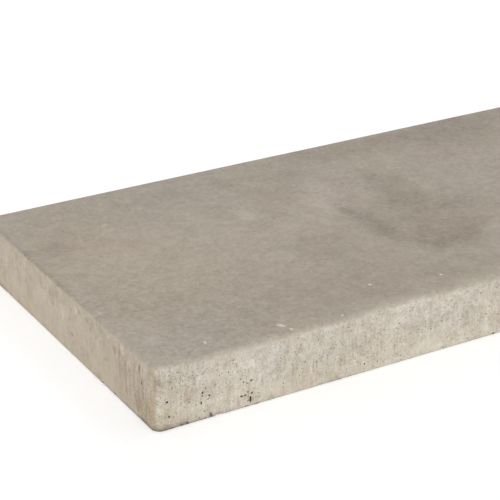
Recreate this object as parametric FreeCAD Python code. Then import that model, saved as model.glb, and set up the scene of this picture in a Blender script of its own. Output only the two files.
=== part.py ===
"""Concrete gravel board: one cast plank that stands at the foot of a fence, between slotted posts.

It lies on its struck face, with its smooth show face up. X runs along the length, Y across the width
and Z up through the thickness. The origin is the middle of the underside.
"""

import os

import FreeCAD
import Part

# Driving dimensions, in millimetres
length = 1830.0  # spans a six-foot fence bay
width = 305.0  # height of the board once it stands in the fence
thickness = 50.0  # slides in the slot of a standard post

long_arris_radius = 6.0  # show face to each long edge
end_arris_radius = 3.0  # show face to each end, where the mould's end plates meet its bed
upright_corner_radius = 7.0  # long edge to end, at the four corners of the plan
underside_arris_radius = 1.0  # struck face to the edges all round

X_AXIS = FreeCAD.Vector(1, 0, 0)
Z_AXIS = FreeCAD.Vector(0, 0, 1)
TOLERANCE = 1e-6


def square_block():
    """The board before its edges are rounded, centred on the origin and standing on it."""
    near_low_corner = FreeCAD.Vector(-length / 2, -width / 2, 0)
    return Part.makeBox(length, width, thickness, near_low_corner)


def runs_along(edge, axis):
    """True for a straight edge that runs along the axis, either way."""
    direction = edge.tangentAt(edge.FirstParameter)
    return abs(abs(direction.dot(axis)) - 1) < TOLERANCE


def arris_radius(edge):
    """The radius that the mould gives this edge of the block."""
    if runs_along(edge, Z_AXIS):
        return upright_corner_radius
    if edge.CenterOfMass.z < thickness / 2:
        return underside_arris_radius
    if runs_along(edge, X_AXIS):
        return long_arris_radius
    return end_arris_radius


def round_arrises(block):
    """Rounds every edge by its own radius in one step, so that the three at a corner blend."""
    document = FreeCAD.newDocument("gravel_board")
    blank = document.addObject("Part::Feature", "blank")
    blank.Shape = block
    cast = document.addObject("Part::Fillet", "cast")
    cast.Base = blank
    radii = [arris_radius(edge) for edge in blank.Shape.Edges]
    cast.Edges = [(number, radius, radius) for number, radius in enumerate(radii, start=1)]
    document.recompute()
    return cast.Shape.Solids[0]


def main():
    gravel_board = round_arrises(square_block())
    os.makedirs("parts", exist_ok=True)
    gravel_board.exportStep("parts/gravel_board.step")
    print("gravel_board: valid", gravel_board.isValid(), "volume", round(gravel_board.Volume), "mm3")


main()
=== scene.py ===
"""Looks of the concrete gravel board: a cast plank with pits, chips and drag marks, on a pale floor."""

import math
import random

import bmesh
import bpy
import numpy as np
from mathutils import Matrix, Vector, noise
from mathutils.geometry import delaunay_2d_cdt


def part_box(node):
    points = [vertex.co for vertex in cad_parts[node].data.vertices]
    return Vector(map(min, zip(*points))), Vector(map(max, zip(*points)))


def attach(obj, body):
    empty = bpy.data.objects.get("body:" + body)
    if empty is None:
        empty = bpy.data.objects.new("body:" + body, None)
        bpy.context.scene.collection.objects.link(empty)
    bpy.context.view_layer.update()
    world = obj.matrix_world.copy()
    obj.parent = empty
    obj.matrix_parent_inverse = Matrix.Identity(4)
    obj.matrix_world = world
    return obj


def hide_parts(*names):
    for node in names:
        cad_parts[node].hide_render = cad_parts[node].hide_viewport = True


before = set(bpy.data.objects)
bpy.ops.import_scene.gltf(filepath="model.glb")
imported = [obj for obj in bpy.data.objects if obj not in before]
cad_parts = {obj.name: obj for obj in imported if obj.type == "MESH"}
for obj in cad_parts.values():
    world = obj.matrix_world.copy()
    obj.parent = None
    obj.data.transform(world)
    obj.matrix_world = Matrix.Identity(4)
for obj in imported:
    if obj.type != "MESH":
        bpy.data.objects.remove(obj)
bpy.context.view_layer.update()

MM = 0.001
UP = Vector((0, 0, 1))

# The cast form, as the CAD solid has it
_, high_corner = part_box("gravel_board")
HALF_LENGTH = high_corner[0]
HALF_WIDTH = high_corner[1]
THICKNESS = high_corner[2]
LONG_ARRIS = 6 * MM
END_ARRIS = 3 * MM
CORNER_RADIUS = 7 * MM
FOOT_ARRIS = 1 * MM

# Mesh spacing
COLUMN_WIDTH = 2 * MM
CORNER_STEPS = 8
FOOT_STEPS = 3
SIDE_STEPS = 9
SIDE_CROWDING = 1.4
ARRIS_STEPS = 6
SHOW_SPACING = 12 * MM
UNDERSIDE_SPACING = 10 * MM
RIM_CLEARANCE = 0.6  # share of the spacing
POINT_SHIFT = 0.2  # share of the spacing
TRIANGLES_INSIDE = 1  # code for a triangulation that stays inside its rim
SAME_POINT = 1e-7
WELD_DISTANCE = 0.0005 * MM
SHARP_ANGLE = 40  # degrees between faces from which their edge isn't smoothed

# How far the casting wanders inside its nominal faces
SIDE_WAVE = 0.25 * MM
DRAG_DEPTH = 0.14 * MM
FOOT_RAGGEDNESS = 0.3 * MM
SHOW_DIP = 0.12 * MM
UNDERSIDE_RISE = 0.5 * MM
ARRIS_WANDER = 0.16
WORN_LENGTH = 80 * MM
CRUMBLE_DEPTH = 0.9 * MM
GROOVE_DEPTH = 0.6 * MM

# Pits seen on the long side by the near corner: mm along from the corner, mm up, mm wide, mm tall,
# lean in degrees
SEEN_PITS = [
    (9.7, 22.4, 2.6, 1.6, -18), (11.1, 10.4, 1.5, 2.4, 0), (13.2, 37.2, 0.9, 1.2, 20),
    (19.5, 34.6, 1, 1.1, 0), (18.4, 43.2, 1.3, 0.8, -15), (22.8, 39.6, 1.2, 0.9, 0),
    (22.1, 35.4, 0.8, 1.4, 0), (26.6, 34.6, 0.9, 0.9, 0), (30, 37.6, 0.9, 0.8, 0),
    (31.3, 35.4, 0.9, 1, 0), (37.6, 21.8, 1.9, 2, 0), (37.4, 19.4, 1.6, 1.6, 0), (43, 18.3, 1.8, 2, 0),
    (42, 15.8, 1.1, 1.5, -25), (36.5, 14.1, 1.7, 2.8, 6), (40, 24.9, 1.3, 1.2, 0),
    (69, 10.1, 3, 1.7, -12), (72.1, 10.2, 1.9, 1.6, 0), (74.2, 12.2, 1.2, 2, 0),
    (77.5, 10.6, 2.4, 1.6, 45), (76.3, 5.7, 1.9, 5.8, 0), (74.5, 8.4, 1.4, 0.9, -20),
    (74.3, 4.8, 1.3, 1.1, 20), (76.9, 20.7, 2, 1.6, -8), (70.5, 21, 1.4, 1.6, 0),
    (73.5, 19.6, 1.3, 1.2, 0), (58.3, 32.4, 1.3, 1.7, 0), (52.9, 32.9, 1, 1.2, 0),
    (51.1, 31.9, 1, 1, 0), (65.2, 36, 0.8, 1, 0), (68.3, 24.1, 1, 1.4, 0), (51, 17.3, 0.7, 0.7, 0),
    (39, 6.8, 0.9, 0.9, 0), (23.4, 14.6, 1, 1.1, 0), (100.9, 29.4, 1.7, 0.9, -25),
    (101.8, 31.7, 1.6, 1, -25), (121.8, 23.7, 1.4, 1.1, 0), (131.6, 21, 1, 1.2, 0),
    (118.3, 38.6, 1.1, 0.8, 0), (132.8, 37.9, 1.4, 1, -20), (103.6, 10.9, 1, 1.5, 0),
    (103.7, 7.7, 0.9, 1.2, 0), (117.1, 13.3, 0.8, 1.1, 20), (153.3, 15.4, 0.8, 0.9, 0),
    (151.5, 8.8, 0.9, 0.9, 0), (165.4, 13.9, 0.9, 1.2, 0), (169.7, 22.8, 0.8, 0.7, -20),
    (173.7, 7.5, 1.7, 1.7, 0), (176.8, 8, 1.1, 1, 0), (203.7, 33.1, 1.2, 1.1, 0),
    (201.4, 29.7, 0.9, 1.3, 0), (187.6, 21.3, 0.9, 0.8, -15), (202.9, 8, 1, 1, 0),
    (228, 24.2, 1.2, 0.9, -35), (215.1, 21.6, 0.8, 0.7, 0), (230.2, 35.4, 1.1, 1, 0),
    (246.4, 41.3, 1.2, 1, -20), (250.9, 40.1, 1, 0.9, 0), (257.2, 33.7, 0.9, 1.1, 0),
    (253.9, 33.7, 1.3, 1.1, 0), (260.7, 21.2, 1.3, 1.2, -30), (254.3, 6.6, 1.1, 0.9, -30),
]
SEEN_LENGTH = 285 * MM  # of that side. Further on its marks are strewn at random

# A crowd of pinholes seen on that side: mm along, mm up, mm spread each way, and how many
SEEN_CROWD = (21, 37, 8.5, 4.5, 42)

# Chips seen along the foot of that side: mm along from the corner, mm long, mm tall, mm deep
SEEN_CHIPS = [
    (8.3, 3, 1.9, 0.8), (13, 4.6, 2.2, 0.9), (20.8, 3.8, 1.8, 0.8), (25.9, 4.4, 2.8, 0.9),
    (40.2, 3.2, 1.6, 0.8), (44.2, 3.4, 5.6, 1.3), (72.4, 5, 2, 1.3), (81, 5.6, 1.6, 1.2),
    (100.8, 3, 0.9, 0.8), (152.6, 2.4, 1.6, 0.9),
]

# Clean breaks seen there, measured likewise
SEEN_BREAKS = [(33.5, 6, 1.6, 1.4), (50.6, 6.6, 3.6, 2.6)]

# Nicks seen in the upper arris of the near end and of that side: mm from the corner, mm long, mm deep
SEEN_END_NICKS = [
    (36, 7, 0.5), (52, 6, 0.9), (70, 9, 0.6), (92, 7, 0.8), (107, 5, 0.6), (120, 8, 0.9), (141, 6, 0.7),
    (157, 5, 0.8),
]
SEEN_SIDE_NICKS = [(83.8, 3.6, 0.5)]

# Pale flakes seen on the show face: mm along, mm across, mm long, mm broad, turn in degrees
SEEN_FLAKES = [
    (49.9, 18.1, 4.6, 2.6, 75), (22.8, 3.6, 2.8, 2.4, 0), (109.4, 13, 7.6, 3.4, 122),
    (113.2, 4.6, 5, 2.2, 108), (202.1, 37, 3.8, 2.2, 120), (156.2, 4.6, 3.4, 2.4, 80),
    (258.5, 24.1, 3, 2, 120),
]

# What is strewn at random where no marks were seen, and how thickly
RANDOM_SEED = 41
PORES_PER_SQUARE_MM = 0.009
PITS_PER_SQUARE_MM = 0.0009
END_PORE_SHARE = 0.25
LEAST_CROWDING = 0.25
CHIP_SPACING = 55 * MM
NICK_SPACING = 22 * MM

# The smallest and the largest of them, in mm
PIT_WIDTHS = (1.0, 1.9)
PORE_WIDTHS = (0.5, 0.95)
PINHOLE_WIDTHS = (0.6, 0.95)
PIT_TALLNESS = (0.7, 1.5)  # of its width
PIT_LEANS = (-25, 25)  # in degrees
CHIP_LENGTHS = (2.5, 7)
CHIP_HEIGHTS = (0.8, 2.2)
CHIP_DEPTHS = (1, 2.2)
NICK_LENGTHS = (3, 9)
NICK_DEPTHS = (0.3, 0.9)

# The lumps that cut out marks: what each one leaves, how fine a ball it is made from, and its form
PIT_KIND, FLAKE_KIND, CHIP_KIND, NICK_KIND = 1, 2, 3, 4
COARSE_BALL, MIDDLE_BALL, FINE_BALL = 1, 2, 3
LUMP_UNEVENNESS = 0.5
FLAKE_UNEVENNESS = 0.4
LUMP_WAVES = 1.3
LUMP_REACH = 1.25  # of its longest half size, with its bulges
PIT_INSET = 0.25 * MM
PIT_DEPTH = 0.8  # of its narrower size
CHIP_OUTSET = 0.2  # of its depth
FLAKE_DEPTH = 0.45 * MM
CHIP_SEEDS, NICK_SEEDS, FLAKE_SEEDS = 50, 70, 90

# Soiling and painted shade in them: by the depth in a pit, and the same all over a chip; a nick gets only
# light soiling, the same all over
DIRT_AND_SHADE_STARTS = 0.3 * MM
DIRT_AND_SHADE_FULL = 0.9 * MM
CHIP_DIRT_AND_SHADE = 0.72
NICK_DIRT = 0.12

# Stains seen on the show face: mm along from the near end, mm across, mm each way, percent of brightness
SEEN_STAINS = [
    (327, 175, 26, 64, -13), (268, 130, 17, 50, -14), (298, 82, 44, 30, -16), (322, 122, 84, 64, -12),
    (336, 92, 24, 24, -7), (330, 286, 115, 26, -12), (460, 280, 135, 56, -18), (269, 121, 7, 18, -4),
    (267, 164, 9, 11, -12), (282, 80, 7, 8, -10), (285, 95, 26, 24, -5), (332, 202, 38, 26, -5),
    (310, 272, 64, 14, -5), (430, 240, 64, 34, -6), (262, 258, 34, 18, -11), (232, 232, 36, 30, -7),
    (212, 110, 42, 38, -6), (190, 40, 140, 54, -6), (190, 268, 95, 24, -5), (22, 216, 26, 20, -10),
    (252, 185, 18, 30, 12), (271, 213, 18, 34, 9), (228, 160, 24, 34, 5), (190, 196, 16, 18, 9),
    (150, 215, 20, 16, 7), (170, 115, 18, 18, 10), (100, 165, 125, 80, 6), (10, 45, 44, 66, 5),
    (78, 240, 6, 5, 17), (111, 16, 8, 11, 10), (106, 3, 10, 7, -8), (264, 28, 22, 18, -10),
    (202, 5, 18, 9, 8), (274, 160, 14, 16, -9), (185, 298, 70, 14, -6), (402, 298, 44, 12, 6),
    (320, 224, 24, 20, -6), (368, 262, 24, 18, -5), (72, 228, 18, 16, 4.5), (6, 95.5, 2.2, 3, 20),
    (45, 168, 3, 4, 7), (356, 132, 30, 40, -5), (320, 66, 22, 18, -14), (288, 66, 16, 12, -11),
    (304, 160, 14, 14, -9), (330, 78, 12, 12, -8), (314, 190, 13, 13, -8), (112, 44, 10, 10, -8),
    (132, 229, 13, 12, 8), (272, 4, 14, 9, 10), (4, 221, 9, 8, -14), (148, 92, 14, 14, 8),
    (188, 4, 12, 6, 14),
]

# Where on the show face the seen stains end, in mm from its middle, and over how many mm others set in
SEEN_END = -HALF_LENGTH / MM + 470
SEEN_FADE = 120

# Where the show face's grain is rougher, measured likewise, and by how many percent
SEEN_ROUGH = [(30, 30, 170, 190, 40)]

# Smooth patches seen on the near long side: mm along from the corner, mm up, mm each way, percent
SEEN_PATCHES = [
    (101, 10, 24, 10, 100), (123, 6, 13, 7, 100), (235, 9, 19, 9, 100), (205, 5, 10, 6, 100),
]

# Broad shades, and small spots and streaks seen on that side, measured likewise, percent of brightness
SEEN_SIDE_SHADES = [
    (18, 36, 18, 12, -7), (72, 36, 16, 12, 7), (90, 10, 14, 9, 5), (106, 25, 16, 18, -4),
    (155, 22, 22, 16, -5), (204, 40, 10, 7, 13), (214, 27, 12, 8, -2), (242, 25, 14, 8, -10),
    (232, 8, 28, 8, 6), (240, 38, 10, 7, 13), (268, 24, 8, 14, -10), (34, 24, 34, 26, -4),
    (90, 22, 34, 24, 4), (238, 24, 36, 24, 2),
]
SEEN_SIDE_SPOTS = [
    (7, 45.5, 8, 7, 10), (4, 33, 6, 8, -15), (9.5, 2.5, 5, 3.5, -22), (22.5, 3, 5, 3.5, -15),
    (24.5, 42, 6, 5, -7), (28, 22, 8, 8, -13), (31, 7, 6, 6, -7), (32, 27, 6, 6, -8),
    (42, 22, 8, 7, -9), (60, 28, 7, 8, 7), (65, 10, 7, 8, 15), (67, 17.5, 10, 5, 8),
    (83, 28, 6, 6, -10), (86, 3, 9, 4, 6), (93, 26, 8, 9, -13), (109.5, 15.5, 6, 6, -12),
    (110, 43.5, 10, 6, -16), (118, 16.5, 3, 6, 7), (121.5, 35, 6, 6, -11), (130, 8, 7, 6, -10),
    (133, 42, 7, 6, -14), (142, 30, 8, 8, -9), (163.5, 16.5, 5, 6, 8), (172, 32, 7, 7, 10),
    (182.5, 42.5, 6, 5, 7), (197, 1.5, 26, 5, 14), (201, 33, 7, 7, 14), (214.5, 41, 6, 6, 8),
    (228, 25, 9, 9, -12), (246, 31, 5, 6, 10), (233, 48, 10, 4, 7), (248, 3, 24, 6, 15),
    (263, 8.5, 7, 7, 11), (33.8, 34, 2, 9, 17), (49.8, 10, 1.4, 7, 7), (61.6, 6, 1.6, 8, 10),
    (83.2, 21, 2.2, 8, 9), (98.3, 21, 1.5, 10, -6), (111.4, 22, 1.3, 9, -12), (115.6, 19, 1.2, 7, -8),
    (127, 15, 1.4, 8, 15), (129.2, 16, 1.2, 7, -16), (131.8, 14, 1.4, 8, -7), (166.4, 22, 1.6, 7, -3),
    (168.5, 10, 1.2, 9, -9), (203, 42, 2.4, 8, 6), (246.6, 27, 1.2, 8, -10), (254, 16, 1.5, 9, 9),
    (259.5, 13, 1.3, 8, 11),
]

# The same on the near end, by mm across from the corner and mm up
SEEN_END_SHADES = [
    (12, 12, 26, 20, -15), (40, 28, 44, 26, -9), (30, 42, 34, 9, 2), (85, 22, 10, 10, 4),
    (145, 31, 18, 10, 8), (170, 38, 10, 6, -7), (190, 28, 18, 13, 4), (210, 24, 8, 14, -2),
]
SEEN_END_SPOTS = [
    (2, 37, 4, 9, -10), (2, 43, 5, 8, -12), (13, 32, 6, 8, -7), (33, 34, 7, 8, -7),
    (169, 33, 8, 7, -14), (175, 42.5, 5, 4, -7), (202, 20, 7, 8, 8), (1.5, 15, 1.8, 6, 18),
    (6, 7, 4, 6, -8), (14, 47, 6, 4, -8), (4, 24, 2.2, 8, -8), (8, 12, 2, 10, -7),
    (8.8, 33, 1.5, 7, 17), (10.2, 42, 1.6, 4, -9), (14, 11, 2, 9, 3), (18.2, 28, 2.6, 13, -22),
    (21.5, 12, 3.2, 7, -4), (23.2, 41, 2, 5, -30), (27.5, 13, 2.6, 9, -6), (37.5, 29, 2, 9, -3),
    (40.2, 20, 2, 12, 8), (44.6, 31, 2.6, 11, -12), (48, 25, 2, 9, -9), (49, 43, 3.2, 6, 25),
    (53.6, 38, 2.6, 6, -12), (53, 26, 2.2, 10, -5), (57.6, 36, 1.2, 4, 25), (61, 38.5, 3.8, 5, -9),
    (71, 44, 2.4, 2, 16), (73.8, 25, 2.6, 2, -11), (82, 44, 4, 3, -10), (83.5, 37, 2, 3.5, 13),
    (86.8, 14, 2.2, 2, -18), (106.5, 42, 4.4, 2.4, -15), (109.6, 44, 2, 1.6, 18),
    (119.5, 42.3, 3.6, 3, -16), (125.5, 42, 2.2, 5.5, 16), (126, 36, 3.4, 3, -8),
    (133.5, 39, 3, 3, -12), (134.5, 18, 3, 2.4, -28), (152, 35, 2.4, 1.6, 17), (158.5, 41, 2.6, 5, -6),
    (166.6, 29.6, 3, 2.6, -14), (196, 38, 2, 5, 10), (208, 34, 3.4, 4, -12),
]

# Stretches of the near long side's upper arris whose skin is worn off, measured along and up, and how
# many hundredths of a mm further up its pale edge reaches
SEEN_WORN_ARRIS = [(198, 50, 60, 20, 160), (10, 48, 16, 12, 240)]

# Faint tints seen, measured likewise: percent redder or percent yellower
SEEN_SHOW_ROSY = [(65, 205, 72, 60, 2.7), (275, 205, 50, 60, 1.8), (420, 225, 80, 80, 1.2)]
SEEN_END_ROSY = [(40, 26, 52, 32, 2.2)]
SEEN_SIDE_ROSY = [(10, 10, 16, 18, 2), (24, 22, 10, 8, 2), (130, 6, 8, 6, 2), (190, 4, 8, 5, 2)]
SEEN_SHOW_OCHRE = [
    (50, 165, 95, 140, 3), (222, 235, 30, 40, 3.5), (190, 85, 70, 50, 1.8), (310, 98, 75, 40, 3.2),
    (292, 212, 58, 52, -3), (400, 195, 60, 50, -2.5),
]
SEEN_END_OCHRE = [(12, 12, 22, 18, 6)]
SEEN_SIDE_OCHRE = [(12, 28, 22, 28, 3), (86, 9, 10, 8, 3), (125, 14, 14, 14, 3), (96, 40, 14, 8, -3)]

# How many mm a seen patch or a small spot reaches in from its face, and the share of each that has its
# full strength
PATCH_DEPTH = 40
PATCH_CORE = 0.2
SPOT_DEPTH = 10
SPOT_CORE = 0.45

# Colours, as plain light reflects off them
SHOW_COOL = (0.370, 0.325, 0.276, 1)
SHOW_WARM = (0.382, 0.330, 0.263, 1)
SIDE_COOL = (0.494, 0.449, 0.386, 1)
SIDE_WARM = (0.494, 0.443, 0.364, 1)
END_COOL = (0.524, 0.453, 0.365, 1)
END_WARM = (0.526, 0.451, 0.350, 1)
# Dark brown of soiling and painted shade in pits, chips and nicks
DIRT_AND_SHADE_COLOUR = (0.056, 0.043, 0.023, 1)
SMUDGE_COLOUR = (0.308, 0.258, 0.196, 1)
FLAKE_COLOUR = (0.62, 0.58, 0.51, 1)
FLOOR_COLOUR = (0.85, 0.85, 0.85, 1)
WHITE = (1, 1, 1, 1)

# How much of the concrete's colour the soiling and painted shade of the hollows and the flakes cover, and
# how the surfaces shine
DIRT_AND_SHADE_COVER = 0.92
FLAKE_COVER = 0.9
CONCRETE_SHEEN = 0.35
FLOOR_ROUGHNESS = 0.9

# Darker concrete is browner: the powers that a tone is raised to for red, green and blue
SHOW_BROWNING = (1.0, 1.08, 1.12)
UPRIGHT_BROWNING = (1.0, 1.14, 1.30)

# The flat map: the side of the board's box that each strip is for, as face_homes counts them
SHOW, UNDERSIDE, NEAR_LONG, FAR_LONG, NEAR_ENDS, FAR_ENDS = range(6)
MAP_MARGIN = 8 * MM
MAP_SIDE_STRETCH = 1.3
MAP_UNDERSIDE_SHRINK = 0.48

# Places of a colour mixing node's two inputs and its result
MIX_FIRST, MIX_SECOND, MIX_RESULT = 6, 7, 2

# Camera, fitted to the outline in the photo, for a frame of 500 by 500 pixels
SENSOR_WIDTH = 36.0
FOCAL_LENGTH = 120.79
CAMERA_PLACE = (-1.3672, -1.0470, 0.5951)
CAMERA_YAW = 30.55
CAMERA_PITCH = 24.48

# Light
FILL_STRENGTH = 0.58
KEY_FROM = (-0.397, -0.814, 0.42)
KEY_STRENGTH = 2.1
BACK_FROM = (0.55, 0.70, 0.28)
BACK_STRENGTH = 0.85
LAMP_SPREAD = 50.0
FLOOR_REACH = 30.0
FLOOR_GAP = 0.1 * MM
FLOOR_LIFT = 0.28


def ease(value, start, end):
    """0 before start, 1 after end, and a smooth rise between them."""
    share = min(max((value - start) / (end - start), 0), 1)
    return share * share * (3 - 2 * share)


def wander(point, size, shift=0):
    """Smooth noise between 0 and 1 whose bumps are about this size apart."""
    return 0.5 + 0.5 * noise.noise(Vector(point) / size + Vector((shift, 0, 0)))


def add_object(name, data):
    """A new object in the scene."""
    thing = bpy.data.objects.new(name, data)
    bpy.context.collection.objects.link(thing)
    return thing


def aim(thing, axis, towards):
    """Turns a thing so that its axis points this way, with its own Y axis up."""
    thing.rotation_mode = "QUATERNION"
    thing.rotation_quaternion = Vector(towards).to_track_quat(axis, "Y")


# The cast form

def plan_outline():
    """Stations round the plan, anticlockwise: a point on the outline and the way out of the board."""
    reach_x = HALF_LENGTH - CORNER_RADIUS
    reach_y = HALF_WIDTH - CORNER_RADIUS
    turns = [(reach_x, -reach_y), (reach_x, reach_y), (-reach_x, reach_y), (-reach_x, -reach_y)]
    stations = []
    for number in range(4):
        centre = Vector(turns[number])
        following = Vector(turns[(number + 1) % 4])
        for step in range(CORNER_STEPS):
            out = direction(90 * (number - 1 + step / CORNER_STEPS))
            stations.append((centre + CORNER_RADIUS * out, out))
        out = direction(90 * number)
        columns = round((following - centre).length / COLUMN_WIDTH)
        for step in range(columns):
            stations.append((centre.lerp(following, step / columns) + CORNER_RADIUS * out, out))
    return stations


def direction(degrees):
    angle = math.radians(degrees)
    return Vector((math.cos(angle), math.sin(angle)))


def section(radius):
    """(distance in from the outline, height) of each row of points, from underside to show face."""
    rows = []
    for step in range(FOOT_STEPS):
        angle = math.radians(90 * step / FOOT_STEPS)
        rows.append((FOOT_ARRIS * (1 - math.sin(angle)), FOOT_ARRIS * (1 - math.cos(angle))))
    for step in range(SIDE_STEPS + 1):
        below = (1 - step / SIDE_STEPS) ** SIDE_CROWDING
        rows.append((0, THICKNESS - radius - below * (THICKNESS - radius - FOOT_ARRIS)))
    for step in range(1, ARRIS_STEPS + 1):
        angle = math.radians(90 * step / ARRIS_STEPS)
        rows.append((radius * (1 - math.cos(angle)), THICKNESS - radius * (1 - math.sin(angle))))
    return rows


def upper_arris(place, out):
    """Radius of the upper arris at this station. It grows from ends to sides, and wanders a little."""
    cast = END_ARRIS + (LONG_ARRIS - END_ARRIS) * (out.y ** 2 + corner_wear(place, out))
    slow = wander((place.x, place.y, 0), 70 * MM, 3)
    quick = wander((place.x, place.y, 0), 13 * MM, 9)
    return cast * (1 - ARRIS_WANDER * (0.65 * slow + 0.35 * quick))


def corner_wear(place, out):
    """How worn an end is here: 1 by the upright corners, 0 away from them."""
    return out.x ** 2 * (1 - ease(HALF_WIDTH - abs(place.y), 15 * MM, WORN_LENGTH))


def crumbling(place, height):
    """Depth of the ragged ridges under a worn arris."""
    level = ease(height, THICKNESS - 18 * MM, THICKNESS - 9 * MM)
    return CRUMBLE_DEPTH * level * wander((place.x, place.y + height / 2, height), 5 * MM, 27)


def lip_groove(place, height):
    """Depth of the broken hollow that runs under the arris of each end."""
    middle = THICKNESS - (6 + 5 * wander((place.x, place.y, 0), 24 * MM, 31)) * MM
    strength = ease(wander((place.x, place.y, 0), 11 * MM, 33), 0.35, 0.65)
    return GROOVE_DEPTH * strength * (1 - ease(abs(height - middle), 0, 4.5 * MM))


def upright_wear(place, out, height):
    """How far an upright face lies inside its nominal place: waves, drag marks, grooves, ragged foot."""
    wave = SIDE_WAVE * wander((place.x, place.y, height), 110 * MM)
    strength = wander((place.x, place.y, 0), 60 * MM, 5)
    drag = DRAG_DEPTH * strength * wander((place.x, place.y, height / 12), 5 * MM, 7)
    near_foot = 1 - ease(height, 0, 5 * MM)
    lumps = wander((place.x, place.y, height), 9 * MM, 2) ** 2
    crumbs = 0.3 * wander((place.x, place.y, height), 3 * MM, 4)
    worn = corner_wear(place, out)
    under_arris = (out.x ** 2 - worn) * lip_groove(place, height) + worn * crumbling(place, height)
    return wave + drag + under_arris + FOOT_RAGGEDNESS * near_foot * (lumps + crumbs)


def show_dip(x, y):
    return SHOW_DIP * wander((x, y, 0), 90 * MM, 11)


def underside_rise(x, y):
    """Height of the struck underside: ridges left across it by the screed, and lumps."""
    ridges = wander((x, y / 7, 0), 22 * MM, 13)
    lumps = wander((x, y, 0), 25 * MM, 17)
    from_rim = min(HALF_LENGTH - abs(x), HALF_WIDTH - abs(y))
    return UNDERSIDE_RISE * ridges * lumps * (0.3 + 0.7 * ease(from_rim, 0, 20 * MM))


def wall_points():
    """Rows of points of the upright faces, one list per station, from the underside up."""
    columns = []
    for place, out in plan_outline():
        column = []
        for inset, height in section(upper_arris(place, out)):
            x, y = place - out * (inset + upright_wear(place, out, height))
            share_of_show = ease(height, THICKNESS - LONG_ARRIS, THICKNESS)
            share_of_foot = 1 - ease(height, 0, 4 * MM)
            z = height - share_of_show * show_dip(x, y) + share_of_foot * underside_rise(x, y)
            column.append(Vector((x, y, z)))
        columns.append(column)
    return columns


def inner_points(spacing, rng):
    """Points spread over the plan inside its rim, about this far apart."""
    margin = LONG_ARRIS + RIM_CLEARANCE * spacing
    across = round(2 * (HALF_WIDTH - margin) / spacing)
    along = round(2 * (HALF_LENGTH - margin) / spacing)
    points = []
    for row in range(across + 1):
        for column in range(along + 1):
            x = (HALF_LENGTH - margin) * (2 * column / along - 1)
            y = (HALF_WIDTH - margin) * (2 * row / across - 1)
            shift = Vector((rng.uniform(-1, 1), rng.uniform(-1, 1))) * spacing * POINT_SHIFT
            points.append(Vector((x, y)) + shift)
    return points


def close_ring(mesh, ring, spacing, height_at, rng, upwards):
    """Fills a ring of the mesh's vertices with triangles that follow height_at(x, y)."""
    inner = inner_points(spacing, rng)
    plan = [vertex.co.xy for vertex in ring] + inner
    rim = [(number, (number + 1) % len(ring)) for number in range(len(ring))]
    made = delaunay_2d_cdt(plan, rim, [], TRIANGLES_INSIDE, SAME_POINT)
    places, _, triangles, origins, _, _ = made
    vertices = []
    for place, origin in zip(places, origins):
        if origin and origin[0] < len(ring):
            vertices.append(ring[origin[0]])
        else:
            vertices.append(mesh.verts.new((place.x, place.y, height_at(place.x, place.y))))
    for triangle in triangles:
        order = triangle if upwards else reversed(triangle)
        mesh.faces.new([vertices[number] for number in order])


def cast_form():
    """The board before anything is broken out of it, as a closed mesh."""
    rng = random.Random(RANDOM_SEED)
    mesh = bmesh.new()
    columns = [[mesh.verts.new(point) for point in column] for column in wall_points()]
    for number, column in enumerate(columns):
        following = columns[(number + 1) % len(columns)]
        for row in range(len(column) - 1):
            mesh.faces.new((column[row], following[row], following[row + 1], column[row + 1]))
    underside = [column[0] for column in columns]
    show = [column[-1] for column in columns]
    close_ring(mesh, show, SHOW_SPACING, lambda x, y: THICKNESS - show_dip(x, y), rng, True)
    close_ring(mesh, underside, UNDERSIDE_SPACING, underside_rise, rng, False)
    bmesh.ops.recalc_face_normals(mesh, faces=mesh.faces)
    bmesh.ops.triangulate(mesh, faces=mesh.faces)
    finished = bpy.data.meshes.new("cast_form")
    mesh.to_mesh(finished)
    mesh.free()
    return finished


# Pits, chips and flakes

class Cavities:
    """Lumps to be cut out of the board, in one mesh. Those strewn at random keep clear of all others."""

    def __init__(self):
        self.points = []
        self.faces = []
        self.kinds = []
        self.taken = []
        self.balls = {detail: unit_ball(detail) for detail in (COARSE_BALL, MIDDLE_BALL, FINE_BALL)}

    def clear_of_others(self, centre, reach):
        return all((centre - other).length > reach + radius for other, radius in self.taken)

    def add(self, centre, axes, kind, detail, unevenness, seed):
        """An uneven ball, stretched along three axes whose lengths are its half sizes."""
        self.taken.append((centre, LUMP_REACH * max(axis.length for axis in axes)))
        points, faces = self.balls[detail]
        first = len(self.points)
        for point in points:
            bulge = 1 + unevenness * noise.noise(LUMP_WAVES * point + Vector((seed, seed / 3, 0)))
            offset = axes[0] * point.x + axes[1] * point.y + axes[2] * point.z
            self.points.append(centre + bulge * offset)
        # Axes that run the other way round would turn the ball inside out
        mirrored = axes[0].cross(axes[1]).dot(axes[2]) < 0
        for face in faces:
            corners = [first + number for number in face]
            self.faces.append(corners[::-1] if mirrored else corners)
        self.kinds += [kind] * len(faces)

    def mesh(self):
        made = bpy.data.meshes.new("cavities")
        made.from_pydata(self.points, [], self.faces)
        made.attributes.new("kind", "INT", "FACE").data.foreach_set("value", self.kinds)
        return made


def unit_ball(detail):
    ball = bmesh.new()
    bmesh.ops.create_icosphere(ball, subdivisions=detail, radius=1)
    points = [vertex.co.copy() for vertex in ball.verts]
    faces = [[vertex.index for vertex in face.verts] for face in ball.faces]
    ball.free()
    return points, faces


class UprightFace:
    """One of the four upright faces. Places on it are measured along from its start and up."""

    def __init__(self, start, along, out, length):
        self.start = Vector((*start, 0))
        self.along = Vector((*along, 0))
        self.out = Vector((*out, 0))
        self.length = length

    def place(self, along, height):
        return self.start + along * self.along + height * UP


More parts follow.
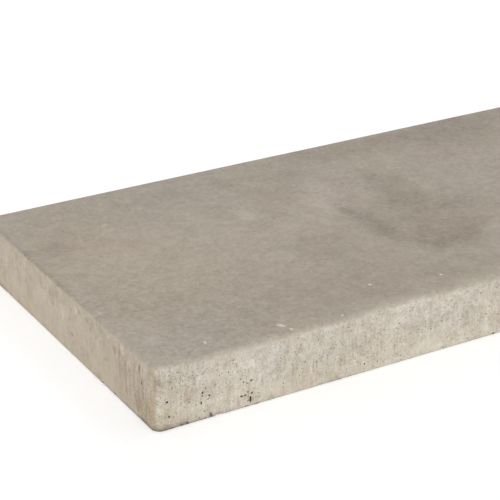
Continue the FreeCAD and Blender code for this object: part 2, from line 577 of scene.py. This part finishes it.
NEAR_SIDE = UprightFace((-HALF_LENGTH, -HALF_WIDTH), (1, 0), (0, -1), 2 * HALF_LENGTH)
FAR_SIDE = UprightFace((HALF_LENGTH, HALF_WIDTH), (-1, 0), (0, 1), 2 * HALF_LENGTH)
NEAR_END = UprightFace((-HALF_LENGTH, -HALF_WIDTH), (0, 1), (-1, 0), 2 * HALF_WIDTH)
FAR_END = UprightFace((HALF_LENGTH, HALF_WIDTH), (0, -1), (1, 0), 2 * HALF_WIDTH)
UPRIGHT_FACES = [NEAR_SIDE, FAR_SIDE, NEAR_END, FAR_END]


def add_pit(cavities, face, along, height, wide, tall, lean, detail, seed):
    """A pit in an upright face, nearly as deep as it is narrow."""
    tilt = math.radians(lean)
    across_axis = math.cos(tilt) * face.along + math.sin(tilt) * UP
    up_axis = math.cos(tilt) * UP - math.sin(tilt) * face.along
    centre = face.place(along, height) - PIT_INSET * face.out
    deep = PIT_DEPTH * min(wide, tall)
    axes = (across_axis * wide / 2, up_axis * tall / 2, face.out * deep)
    cavities.add(centre, axes, PIT_KIND, detail, LUMP_UNEVENNESS, seed)


def add_seen_marks(cavities):
    for number, (along, height, wide, tall, lean) in enumerate(SEEN_PITS):
        form = (wide * MM, tall * MM, lean)
        add_pit(cavities, NEAR_SIDE, along * MM, height * MM, *form, MIDDLE_BALL, number)
    for kind, chips in ((CHIP_KIND, SEEN_CHIPS), (NICK_KIND, SEEN_BREAKS)):
        for number, (along, long, tall, deep) in enumerate(chips):
            add_chip(cavities, NEAR_SIDE, along * MM, long * MM, tall * MM, deep * MM, kind, number)
    for face, nicks in ((NEAR_END, SEEN_END_NICKS), (NEAR_SIDE, SEEN_SIDE_NICKS)):
        for number, (along, long, deep) in enumerate(nicks):
            add_nick(cavities, face, along * MM, long * MM, deep * MM, number)
    for number, (along, across, long, broad, turn) in enumerate(SEEN_FLAKES):
        add_flake(cavities, along * MM, across * MM, long * MM, broad * MM, turn, number)


def add_chip(cavities, face, along, long, tall, deep, kind, seed):
    """A piece knocked off the foot of an upright face."""
    axes = (face.along * long / 2, tall * UP, face.out * deep)
    centre = face.place(along, 0) + CHIP_OUTSET * deep * face.out
    cavities.add(centre, axes, kind, FINE_BALL, LUMP_UNEVENNESS, seed + CHIP_SEEDS)


def add_nick(cavities, face, along, long, deep, seed):
    """A crumb broken out of the upper arris of an upright face."""
    radius = END_ARRIS if face in (NEAR_END, FAR_END) else LONG_ARRIS
    reach = (math.sqrt(2) - 1) * radius + deep
    axes = (face.along * long / 2, face.out * reach, reach * UP)
    centre = face.place(along, THICKNESS)
    cavities.add(centre, axes, NICK_KIND, FINE_BALL, LUMP_UNEVENNESS, seed + NICK_SEEDS)


def add_flake(cavities, along, across, long, broad, turn, seed):
    """A shallow pale scar in the show face."""
    heading = direction(turn)
    long_axis = Vector((heading.x, heading.y, 0)) * long / 2
    broad_axis = Vector((-heading.y, heading.x, 0)) * broad / 2
    centre = Vector((along - HALF_LENGTH, across - HALF_WIDTH, THICKNESS))
    axes = (long_axis, broad_axis, FLAKE_DEPTH * UP)
    cavities.add(centre, axes, FLAKE_KIND, MIDDLE_BALL, FLAKE_UNEVENNESS, seed + FLAKE_SEEDS)


def scatter_pits(cavities, face, rng):
    """Random pores and pits in an upright face, in loose clusters."""
    share = 1 if face in (NEAR_SIDE, FAR_SIDE) else END_PORE_SHARE
    area = face.length * THICKNESS / MM ** 2
    pits = round(area * PITS_PER_SQUARE_MM * share)
    pores = round(area * PORES_PER_SQUARE_MM * share)
    for number in range(pits + pores):
        along = rng.uniform(1.5 * CORNER_RADIUS, face.length - 1.5 * CORNER_RADIUS)
        height = rng.uniform(3 * MM, THICKNESS - LONG_ARRIS)
        wide = rng.uniform(*(PIT_WIDTHS if number < pits else PORE_WIDTHS)) * MM
        tall = wide * rng.uniform(*PIT_TALLNESS)
        lean = rng.uniform(*PIT_LEANS)
        centre = face.place(along, height)
        crowding = wander(centre, 26 * MM, 21)
        placed_by_hand = number < pits and face is NEAR_SIDE and along < SEEN_LENGTH
        if placed_by_hand or rng.random() > LEAST_CROWDING + crowding:
            continue
        if cavities.clear_of_others(centre, wide):
            detail = MIDDLE_BALL if number < pits else COARSE_BALL
            add_pit(cavities, face, along, height, wide, tall, lean, detail, number)


def scatter_crowd(cavities, face, rng):
    """The crowd of pinholes that was seen on the near side."""
    middle, level, spread, rise, count = SEEN_CROWD
    for number in range(count):
        along = rng.gauss(middle, spread) * MM
        height = rng.gauss(level, rise) * MM
        wide = rng.uniform(*PINHOLE_WIDTHS) * MM
        inside = CORNER_RADIUS < along and height < THICKNESS - LONG_ARRIS
        if inside and cavities.clear_of_others(face.place(along, height), wide):
            add_pit(cavities, face, along, height, wide, wide, 0, COARSE_BALL, number)


def scatter_chips(cavities, face, rng):
    """Random chips along the foot of an upright face, where none were listed."""
    for number in range(round(face.length / CHIP_SPACING)):
        along = rng.uniform(2 * CORNER_RADIUS, face.length - 2 * CORNER_RADIUS)
        long = rng.uniform(*CHIP_LENGTHS) * MM
        tall = rng.uniform(*CHIP_HEIGHTS) * MM
        deep = rng.uniform(*CHIP_DEPTHS) * MM
        placed_by_hand = face is NEAR_SIDE and along < SEEN_LENGTH
        if not placed_by_hand and cavities.clear_of_others(face.place(along, 0), long):
            add_chip(cavities, face, along, long, tall, deep, CHIP_KIND, number)


def scatter_nicks(cavities, face, rng):
    """Random nicks along the upper arris of an end, where none were listed."""
    for number in range(round(face.length / NICK_SPACING)):
        along = rng.uniform(2 * CORNER_RADIUS, face.length - 2 * CORNER_RADIUS)
        long = rng.uniform(*NICK_LENGTHS) * MM
        deep = rng.uniform(*NICK_DEPTHS) * MM
        if cavities.clear_of_others(face.place(along, THICKNESS), long):
            add_nick(cavities, face, along, long, deep, number)


def cavity_mesh():
    rng = random.Random(RANDOM_SEED + 1)
    cavities = Cavities()
    add_seen_marks(cavities)
    scatter_crowd(cavities, NEAR_SIDE, rng)
    for face in UPRIGHT_FACES:
        scatter_chips(cavities, face, rng)
        scatter_pits(cavities, face, rng)
    for face in (NEAR_END, FAR_END):
        scatter_nicks(cavities, face, rng)
    return cavities.mesh()


def cut_out(solid, lumps):
    """The solid mesh with the lumps taken out of it."""
    board = add_object("cast_board", solid)
    cutter = add_object("cavities", lumps)
    modifier = board.modifiers.new("cavities", "BOOLEAN")
    modifier.operation = "DIFFERENCE"
    modifier.solver = "MANIFOLD"
    modifier.object = cutter
    depsgraph = bpy.context.evaluated_depsgraph_get()
    result = bpy.data.meshes.new_from_object(board.evaluated_get(depsgraph))
    board.modifiers.clear()
    board.data = result
    bpy.data.objects.remove(cutter)
    return board


def weld(mesh):
    """Joins the points that cutting left in the same place."""
    work = bmesh.new()
    work.from_mesh(mesh)
    bmesh.ops.remove_doubles(work, verts=work.verts, dist=WELD_DISTANCE)
    work.to_mesh(mesh)
    work.free()


def colour_cavities(mesh):
    """Marks how dark each corner of a pit, chip or nick is painted, for soiling and painted shade, and
    how pale each corner of a flake.
    """
    kinds = per_corner(mesh, listed(mesh.attributes["kind"].data, "value"))
    places = corner_places(mesh)
    reach = np.array([HALF_LENGTH, HALF_WIDTH])
    depth = (reach - np.abs(places[:, :2])).min(axis=1)
    dirt_and_shade = np.clip((depth - DIRT_AND_SHADE_STARTS) / (DIRT_AND_SHADE_FULL - DIRT_AND_SHADE_STARTS), 0, 1)
    dirt_and_shade = np.where(kinds == PIT_KIND, dirt_and_shade, 0)
    dirt_and_shade = np.where(kinds == CHIP_KIND, CHIP_DIRT_AND_SHADE, dirt_and_shade)
    dirt_and_shade = np.where(kinds == NICK_KIND, NICK_DIRT, dirt_and_shade)
    pale = np.where(kinds == FLAKE_KIND, 1.0, 0.0)
    mesh.attributes.new("dirt_and_shade", "FLOAT", "CORNER").data.foreach_set("value", dirt_and_shade)
    mesh.attributes.new("pale", "FLOAT", "CORNER").data.foreach_set("value", pale)
    mesh.attributes.remove(mesh.attributes["kind"])


def listed(items, name, kind=np.int32, width=1):
    """One property of all of these items of a mesh, as an array."""
    values = np.empty(width * len(items), kind)
    items.foreach_get(name, values)
    return values


def per_corner(mesh, values):
    """The values of the faces, repeated for each corner of each face."""
    return np.repeat(values, listed(mesh.polygons, "loop_total"))


def corner_places(mesh):
    """Where each corner of each face is, as rows of x, y, z."""
    places = listed(mesh.vertices, "co", float, 3).reshape(-1, 3)
    return places[listed(mesh.loops, "vertex_index")]


# The flat map that the colours go out on

def face_homes(mesh):
    """The map's strip for each face, by the nearest side of the board's box, and the half it is in."""
    x, y, z = listed(mesh.polygons, "center", float, 3).reshape(-1, 3).T
    gaps = np.stack([THICKNESS - z, z, HALF_WIDTH + y, HALF_WIDTH - y, HALF_LENGTH + x, HALF_LENGTH - x])
    return gaps.argmin(axis=0), x > 0


def lay_out_map(mesh):
    """Lays show face, long sides and underside out in two halves each, and the ends side by side."""
    nearest, right = [per_corner(mesh, values) for values in face_homes(mesh)]
    x, y, z = corner_places(mesh).T
    half_x = np.where(right, x, x + HALF_LENGTH)
    across = y + HALF_WIDTH
    strip = HALF_LENGTH + 2 * MAP_MARGIN
    wide = 2 * HALF_WIDTH + MAP_MARGIN
    tall = MAP_SIDE_STRETCH * THICKNESS + MAP_MARGIN
    u = np.zeros(len(x))
    v = np.zeros(len(x))
    row = 0.0
    for side in (SHOW, NEAR_LONG, FAR_LONG):
        for half in (False, True):
            here = (nearest == side) & (right == half)
            u[here] = half_x[here] + MAP_MARGIN
            v[here] = row + (across[here] if side == SHOW else MAP_SIDE_STRETCH * z[here])
            row += wide if side == SHOW else tall
    for side, start in ((NEAR_ENDS, 0), (FAR_ENDS, wide)):
        here = nearest == side
        u[here] = start + MAP_MARGIN + across[here]
        v[here] = row + MAP_SIDE_STRETCH * z[here]
    row += tall
    for half in (False, True):
        here = (nearest == UNDERSIDE) & (right == half)
        u[here] = MAP_MARGIN + (half_x[here] + half * strip) * MAP_UNDERSIDE_SHRINK
        v[here] = row + across[here] * MAP_UNDERSIDE_SHRINK
    row += wide * MAP_UNDERSIDE_SHRINK
    places = np.stack([u / strip, (v + MAP_MARGIN / 2) / (row + MAP_MARGIN)], axis=1)
    mesh.uv_layers.new(name="OFBake").data.foreach_set("uv", places.ravel())


# Materials

class Value:
    """An output of a node. Sums and products of it add the nodes that work them out."""

    def __init__(self, paint, socket):
        self.paint = paint
        self.socket = socket

    def __add__(self, other):
        return self.paint.math("ADD", self, other)

    def __radd__(self, other):
        return self.paint.math("ADD", other, self)

    def __sub__(self, other):
        return self.paint.math("SUBTRACT", self, other)

    def __rsub__(self, other):
        return self.paint.math("SUBTRACT", other, self)

    def __mul__(self, other):
        return self.paint.math("MULTIPLY", self, other)

    def __abs__(self):
        return self.paint.math("ABSOLUTE", self)

    def swing(self, amount):
        """The value, which is 0.5 on average, as a change of this size about 0."""
        return self.paint.math("MULTIPLY_ADD", self, amount, -amount / 2)

    def ramp(self, start, end, low=0.0, high=1.0):
        """A smooth change from low to high as the value goes from start to end."""
        inputs = {"Value": self, "From Min": start, "From Max": end, "To Min": low, "To Max": high}
        return self.paint.add("MapRange", inputs, "Result", interpolation_type="SMOOTHSTEP")

    def noise(self, size, detail=3.0, roughness=0.55):
        """Cloudy noise between 0 and 1 by this place, with clouds about this many millimetres apart."""
        inputs = {"Vector": self, "Scale": 1 / size, "Detail": detail, "Roughness": roughness}
        return self.paint.add("TexNoise", inputs, "Fac")


class Painter:
    """Adds nodes to a material or world. Most methods return a value that a later one takes."""

    def __init__(self, owner, shader):
        owner.use_nodes = True
        self.tree = owner.node_tree
        self.shader = self.tree.nodes[shader]

    def feed(self, socket, value):
        if isinstance(value, Value):
            self.tree.links.new(value.socket, socket)
        else:
            socket.default_value = value

    def give(self, name, value):
        """Gives the shader this value, for its input of this name."""
        self.feed(self.shader.inputs[name], value)

    def add(self, kind, inputs, *results, **settings):
        """A new node's result, or a list of them if several are named."""
        node = self.tree.nodes.new("ShaderNode" + kind)
        for name, value in settings.items():
            setattr(node, name, value)
        for name, value in inputs.items():
            self.feed(node.inputs[name], value)
        values = [Value(self, node.outputs[result]) for result in results]
        return values if len(values) > 1 else values[0]

    def math(self, operation, *values):
        return self.add("Math", dict(enumerate(values)), 0, operation=operation)

    def vector(self, operation, *values):
        return self.add("VectorMath", dict(enumerate(values)), 0, operation=operation)

    def combined(self, red, green, blue):
        return self.add("CombineXYZ", {"X": red, "Y": green, "Z": blue}, "Vector")

    def mix(self, share, first, second):
        """The first number where share is 0, the second where it is 1."""
        return self.add("Mix", {"Factor": share, "A": first, "B": second}, "Result")

    def blend(self, share, first, second):
        """The first colour where share is 0, the second where it is 1."""
        inputs = {"Factor": share, MIX_FIRST: first, MIX_SECOND: second}
        return self.add("Mix", inputs, MIX_RESULT, data_type="RGBA")

    def attribute(self, name):
        return self.add("Attribute", {}, "Fac", attribute_name=name)


class Places:
    """Where a point is on the board: its place in mm, and how far it belongs to each kind of face."""

    def __init__(self, paint):
        self.paint = paint
        position = paint.add("TexCoord", {}, "Object")
        self.mm = paint.vector("MULTIPLY", position, (1 / MM, 1 / MM, 1 / MM))
        self.ragged = warp(warp(self.mm, 45, 16), 9, 9)
        self.frayed = warp(self.mm, 7, 4)
        self.x, self.y, self.z = paint.add("SeparateXYZ", {"Vector": self.mm}, "X", "Y", "Z")
        self.from_end = HALF_LENGTH / MM - abs(self.x)
        from_side = HALF_WIDTH / MM - abs(self.y)
        self.end = (self.from_end - from_side).ramp(1.0, -2.2)
        from_corner = paint.math("MAXIMUM", self.from_end, from_side)
        self.near_corner = from_corner.ramp(75, 15)
        self.corner = from_corner.ramp(8.5, 3.0)
        self.unseen = self.x.ramp(SEEN_END, SEEN_END + SEEN_FADE)
        self.find_rims(from_corner.ramp(45, 10, 4.0, 7.0))

    def find_rims(self, raggedness):
        """Shares of the show face, the lip under an end's arris, the shade below it, foot, underside."""
        uneven = self.mm.noise(9, 4, 0.65)
        height = self.paint.math("MULTIPLY_ADD", uneven, raggedness, self.z) - raggedness * 0.5
        top = THICKNESS / MM
        worn = patches(self.ragged, on_near_side, SEEN_WORN_ARRIS)
        long_rim = (height - worn).ramp(top - 5.5, top - 1.0)
        end_rim = height.ramp(top - 2.4, top - 0.6)
        crisp = self.end * (1.0 - self.near_corner)
        self.show = self.paint.mix(crisp, long_rim, end_rim)
        self.lip = crisp * height.ramp(top - 9, top - 5)
        broken = self.mm.noise(16, 3).ramp(0.42, 0.60)
        under = height.ramp(top - 18, top - 10) * height.ramp(top - 5, top - 9)
        self.under_lip = crisp * under * broken
        self.foot = height.ramp(4.0, 0.5)
        self.underside = self.z.ramp(1.6, 0.7)


def warp(place, size, amount):
    """The place moved about by noise, which makes outlines drawn by it uneven."""
    paint = place.paint
    inputs = {"Vector": place, "Scale": 1 / size, "Detail": 4.0, "Roughness": 0.6}
    centred = paint.vector("SUBTRACT", paint.add("TexNoise", inputs, "Color"), (0.5, 0.5, 0.5))
    return paint.vector("ADD", place, paint.vector("MULTIPLY", centred, (amount, amount, amount)))


def on_show(along, across, long, broad, depth):
    """Centre and half sizes of a patch on the show face."""
    return (along - HALF_LENGTH / MM, across - HALF_WIDTH / MM, THICKNESS / MM), (long, broad, depth)


def on_near_side(along, height, long, tall, depth):
    return (along - HALF_LENGTH / MM, -HALF_WIDTH / MM, height), (long, depth, tall)


def on_near_end(across, height, broad, tall, depth):
    return (-HALF_LENGTH / MM, across - HALF_WIDTH / MM, height), (depth, broad, tall)


def patches(place, where, marks, depth=PATCH_DEPTH, core=PATCH_CORE):
    """Soft round patches together. Each mark is a place on a face, two half sizes and a percentage."""
    paint = place.paint
    total = 0.0
    for *outline, strength in marks:
        centre, reach = where(*outline, depth)
        offset = paint.vector("DIVIDE", paint.vector("SUBTRACT", place, centre), reach)
        distance = paint.add("VectorMath", {0: offset}, "Value", operation="LENGTH")
        total = total + distance.ramp(1.0, core, 0.0, strength / 100)
    return total


def show_stains(at):
    """Change of the show face's brightness by the stains seen on it, and by like ones further on."""
    damp = at.ragged.noise(120, 4)
    return (
        patches(at.ragged, on_show, SEEN_STAINS)
        + at.unseen * damp.ramp(0.54, 0.66, 0.0, -0.16)
        + at.unseen * damp.ramp(0.44, 0.52, 0.0, 0.07)
        + at.unseen.ramp(0, 1, 0.3, 1.0) * at.mm.noise(95, 6, 0.6).swing(0.26)
    )


def wrinkles(at):
    """1 along short fine wrinkles in the cement skin, 0 elsewhere."""
    fold = abs(at.mm.noise(16, 2).swing(1.0))
    broken = at.mm.noise(7, 3).ramp(0.55, 0.62)
    return fold.ramp(0.035, 0.010) * broken


def show_tone(at):
    """Brightness of the show face about 1: stains, mottling, grain, wrinkles, and a painted shade along
    the edge by each end.
    """
    rougher = 1.0 + patches(at.mm, on_show, SEEN_ROUGH)
    # Painted shade along the show face's edge by each end
    crease_shade = at.from_end.ramp(5, 2.5) * at.y.ramp(-50, 0) * at.mm.noise(12, 4)
    return (
        1.0
        + show_stains(at)
        + at.mm.noise(14, 5, 0.65).swing(0.38)
        + rougher * at.mm.noise(4, 6, 0.8).swing(0.85)
        + crease_shade * -0.18
        + wrinkles(at) * -0.14
        + dots(at, 3.4, 0.015) * 0.30
    )


class Marks:
    """What casting and stripping left on the upright faces. Each mark is a value from 0 to 1."""

    def __init__(self, at):
        self.skin = cement_skin(at)
        self.open = self.skin.ramp(0, 1, 1.0, 0.5)
        self.streaks = drawn_noise(at, 0.06, 3.0)
        self.broad_streaks = drawn_noise(at, 0.12, 8.0)
        low = at.z.ramp(36, 18, 0.35, 1.0)
        self.scrapes = low * drawn_noise(at, 0.10, 1.8).ramp(0.55, 0.66)
        self.smears = drawn_noise(at, 0.28, 6.5).ramp(0.50, 0.68)
        high = at.z.ramp(18, 34, 0.2, 1.0)
        self.blotches = high * drawn_noise(at, 0.8, 8.0).ramp(0.50, 0.66)
        self.flecks = drawn_noise(at, 0.8, 1.3)
        clusters = at.mm.noise(22, 3).ramp(0.40, 0.62, 0.25, 1.0)
        self.smudges = clusters * drawn_noise(at, 0.6, 4.0).ramp(0.50, 0.68)
        self.pores = at.paint.math("MAXIMUM", dots(at, 3.0, 0.35), dots(at, 1.7, 0.25))
        self.rings = bubble_rings(at, 6.5, 0.12)


def drawn_noise(at, squeeze, size):
    """Noise drawn out upright, as stripping the mould leaves it."""
    return at.paint.vector("MULTIPLY", at.mm, (1, 1, squeeze)).noise(size, 4, 0.65)


def strewn_cells(at, cell, share, channel):
    """Distance from the middle of a point's cell, and 1 in about this share of the cells, 0 in others."""
    inputs = {"Vector": at.mm, "Scale": 1 / cell}
    distance, colour = at.paint.add("TexVoronoi", inputs, "Distance", "Color")
    lot = at.paint.add("SeparateColor", {"Color": colour}, channel)
    return distance, lot.ramp(1 - share, 1.02 - share)


def dots(at, cell, share):
    """1 in the middle of small round dots, 0 elsewhere. Only this share of the cells has one."""
    distance, chosen = strewn_cells(at, cell, share, "Red")
    return distance.ramp(0.30, 0.10) * chosen


def bubble_rings(at, cell, share):
    """1 along the faint outlines of bubbles that closed again, 0 elsewhere."""
    distance, chosen = strewn_cells(at, cell, share, "Green")
    return distance.ramp(0.16, 0.24) * distance.ramp(0.34, 0.26) * chosen


def cement_skin(at):
    """1 where the upright faces kept their smooth cement skin, 0 where they are open and porous."""
    low_down = at.z.ramp(32, 4, -0.14, 0.02)
    skin = (at.mm.noise(30, 4, 0.6) + low_down).ramp(0.52, 0.62)
    seen = at.paint.math("MINIMUM", 1.0, patches(at.ragged, on_near_side, SEEN_PATCHES))
    return at.paint.math("MAXIMUM", skin, seen)


def upright_tone(at, marks):
    """Brightness of the upright faces about 1: clouds, flecks, drag marks and pores."""
    calm_end = at.end * at.near_corner.ramp(0, 1, 0.65, 0.2)
    fleck_share = marks.open * (1.0 - calm_end)
    cloud_share = at.end.ramp(0, 1, 1.0, 0.7)
    streak_share = at.mm.noise(45).ramp(0.35, 0.7, 0.5, 1.2) * at.end.ramp(0, 1, 1.0, 0.6)
    corner_streaks = at.end * at.near_corner
    return (
        1.0
        + patches(at.ragged, on_near_side, SEEN_SIDE_SHADES)
        + patches(at.ragged, on_near_end, SEEN_END_SHADES)
        + patches(at.frayed, on_near_side, SEEN_SIDE_SPOTS, SPOT_DEPTH, SPOT_CORE)
        + patches(at.frayed, on_near_end, SEEN_END_SPOTS, SPOT_DEPTH, SPOT_CORE)
        + cloud_share * at.mm.noise(40, 4).swing(0.30)
        + cloud_share * at.mm.noise(12, 4, 0.6).swing(0.40)
        + fleck_share * at.mm.noise(5, 4, 0.65).swing(0.41)
        + fleck_share * marks.flecks.swing(0.88)
        + (streak_share + corner_streaks) * marks.streaks.swing(0.42)
        + corner_streaks * marks.broad_streaks.swing(0.40)
        + fleck_share * marks.scrapes * 0.15
        + fleck_share * marks.smears * -0.10
        + fleck_share * marks.blotches * 0.10
        + fleck_share * marks.pores * -0.28
        + fleck_share * marks.rings * -0.09
        + at.lip * -0.04
        + at.under_lip * -0.08
        + at.corner * at.end * marks.broad_streaks.ramp(0.35, 0.65, -0.24, -0.08)
    )


def foot_grime_and_shade(at):
    """Factor that darkens the foot of the upright faces: grime, and painted shade by the floor, most of
    all by the corners.
    """
    grime = at.mm.noise(8, 4).ramp(0.3, 0.7, 0.0, -0.06)
    # Painted shade at the foot by each corner, and more in the lowest part of the very corner
    corner_foot_shade = at.near_corner * at.mm.noise(5, 4).ramp(0.3, 0.6, -0.24, -0.55)
    very_corner_shade = at.corner * at.z.ramp(7, 2, 0.0, -0.22)
    return 1.0 + at.foot * (grime + corner_foot_shade) + very_corner_shade


def faint_tints(at):
    """Factors about 1 for red, green and blue: rosy clouds all over, and the tints that were seen."""
    rosy = (
        at.show.ramp(0, 1, 1.0, 0.4) * at.mm.noise(15, 4, 0.6).swing(0.12)
        + patches(at.ragged, on_show, SEEN_SHOW_ROSY)
        + patches(at.ragged, on_near_end, SEEN_END_ROSY)
        + patches(at.ragged, on_near_side, SEEN_SIDE_ROSY)
    )
    ochre = (
        patches(at.ragged, on_show, SEEN_SHOW_OCHRE)
        + patches(at.ragged, on_near_end, SEEN_END_OCHRE)
        + patches(at.ragged, on_near_side, SEEN_SIDE_OCHRE)
    )
    return at.paint.combined(rosy * 0.5 + 1.0, rosy * -0.5 + 1.0, 1.0 - ochre)


def shaded(paint, colour, tone, browning):
    """The colour times a tone, which each of its three parts follows by its own power."""
    factors = paint.combined(*[paint.math("POWER", tone, power) for power in browning])
    return paint.vector("MULTIPLY", colour, factors)


def upright_colour(at, marks):
    paint = at.paint
    broad_hue = at.mm.noise(32, 4).swing(0.8)
    low_hue = at.z.ramp(42, 6, -0.10, 0.10)
    hue = (at.mm.noise(9, 4, 0.6) + broad_hue + low_hue).ramp(0.35, 0.65)
    side = paint.blend(paint.math("MAXIMUM", hue, marks.skin), SIDE_COOL, SIDE_WARM)
    colour = paint.blend(at.end, side, paint.blend(hue, END_COOL, END_WARM))
    colour = paint.blend(marks.smudges * marks.open * 0.40, colour, SMUDGE_COLOUR)
    colour = shaded(paint, colour, upright_tone(at, marks), UPRIGHT_BROWNING)
    return paint.vector("MULTIPLY", colour, foot_grime_and_shade(at))


def show_colour(at):
    swing = at.unseen.ramp(0, 1, 0.4, 1.0) * at.mm.noise(80, 4).swing(2.4)
    colour = at.paint.blend(swing.ramp(-0.5, 0.5), SHOW_COOL, SHOW_WARM)
    return shaded(at.paint, colour, show_tone(at), SHOW_BROWNING)


def surface_roughness(at):
    smooth = at.mm.noise(18, 4).ramp(0.3, 0.7, 0.62, 0.78)
    rough = at.mm.noise(4, 3).ramp(0.3, 0.7, 0.84, 0.97)
    return at.paint.mix(at.show, rough, smooth)


def surface_relief(at, marks):
    """Fine relief in mm: faint on the show face, grainy and dragged on the sides, coarse underneath."""
    fine = at.mm.noise(1.4, 3, 0.6)
    medium = at.mm.noise(5, 4, 0.6)
    show = fine * 0.08 + medium * 0.10
    grainy = marks.open * at.end.ramp(0, 1, 1.0, 0.45)
    upright = (
        fine * grainy * 0.45
        + medium * grainy * 0.5
        + marks.streaks * 0.5
        + marks.smudges * grainy * -0.25
        + marks.pores * grainy * -0.4
    )
    coarse = at.underside * at.mm.noise(9, 5, 0.65) * 1.2
    height = at.show * show + (1.0 - at.show) * upright + coarse
    return at.paint.add("Bump", {"Height": height, "Distance": MM, "Strength": 1.0}, "Normal")


def paint_concrete():
    material = bpy.data.materials.new("cast_concrete")
    paint = Painter(material, "Principled BSDF")
    at = Places(paint)
    marks = Marks(at)
    colour = paint.blend(at.show, upright_colour(at, marks), show_colour(at))
    colour = paint.vector("MULTIPLY", colour, faint_tints(at))
    # Pits, chips and nicks darkened by soiling and by painted shade in the hollows
    colour = paint.blend(paint.attribute("dirt_and_shade") * DIRT_AND_SHADE_COVER, colour, DIRT_AND_SHADE_COLOUR)
    colour = paint.blend(paint.attribute("pale") * FLAKE_COVER, colour, FLAKE_COLOUR)
    paint.give("Base Color", colour)
    paint.give("Roughness", surface_roughness(at))
    paint.give("Normal", surface_relief(at, marks))
    paint.give("Specular IOR Level", CONCRETE_SHEEN)
    return material


# The setting

def add_floor():
    """A pale floor that the camera sees as white, apart from the board's shadow."""
    corners = [(-1, -1), (1, -1), (1, 1), (-1, 1)]
    points = [(x * FLOOR_REACH, y * FLOOR_REACH, -FLOOR_GAP) for x, y in corners]
    mesh = bpy.data.meshes.new("floor")
    mesh.from_pydata(points, [], [(0, 1, 2, 3)])
    floor = add_object("floor", mesh)
    mesh.materials.append(paint_floor())


def seen_directly(paint):
    """1 for what the camera, a reflection or a clear piece shows, 0 for light that falls on the board."""
    names = ("Is Camera Ray", "Is Glossy Ray", "Is Transmission Ray")
    camera, glossy, clear = paint.add("LightPath", {}, *names)
    return paint.math("MAXIMUM", paint.math("MAXIMUM", camera, glossy), clear)


def paint_floor():
    material = bpy.data.materials.new("pale_floor")
    paint = Painter(material, "Principled BSDF")
    paint.give("Base Color", FLOOR_COLOUR)
    paint.give("Roughness", FLOOR_ROUGHNESS)
    paint.give("Specular IOR Level", 0.0)
    paint.give("Emission Color", WHITE)
    paint.give("Emission Strength", seen_directly(paint) * FLOOR_LIFT)
    return material


def add_world():
    """White where it is seen, and a softer even light where it falls on the board."""
    world = bpy.data.worlds.new("studio")
    paint = Painter(world, "Background")
    paint.give("Color", WHITE)
    paint.give("Strength", seen_directly(paint).ramp(0, 1, FILL_STRENGTH, 1.0))
    bpy.context.scene.world = world


def add_lamp(name, towards, strength, gives_sheen):
    """A broad, even lamp far off, which shines from this direction."""
    lamp = bpy.data.lights.new(name, "SUN")
    lamp.energy = strength
    lamp.angle = math.radians(LAMP_SPREAD)
    thing = add_object(name, lamp)
    thing.visible_glossy = gives_sheen
    aim(thing, "Z", towards)


def add_camera():
    data = bpy.data.cameras.new("camera")
    data.sensor_width = SENSOR_WIDTH
    data.lens = FOCAL_LENGTH
    camera = add_object("camera", data)
    yaw = math.radians(CAMERA_YAW)
    pitch = math.radians(CAMERA_PITCH)
    level = math.cos(pitch)
    camera.location = CAMERA_PLACE
    aim(camera, "-Z", (math.sin(yaw) * level, math.cos(yaw) * level, -math.sin(pitch)))
    bpy.context.scene.camera = camera


def add_board():
    board = cut_out(cast_form(), cavity_mesh())
    mesh = board.data
    weld(mesh)
    colour_cavities(mesh)
    lay_out_map(mesh)
    mesh.shade_smooth()
    mesh.set_sharp_from_angle(angle=math.radians(SHARP_ANGLE))
    mesh.materials.clear()
    mesh.materials.append(paint_concrete())
    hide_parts("gravel_board")
    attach(board, "root")


add_board()
add_floor()
add_world()
add_lamp("key", KEY_FROM, KEY_STRENGTH, True)
add_lamp("back", BACK_FROM, BACK_STRENGTH, False)
add_camera()
bpy.context.scene.view_settings.view_transform = "Standard"
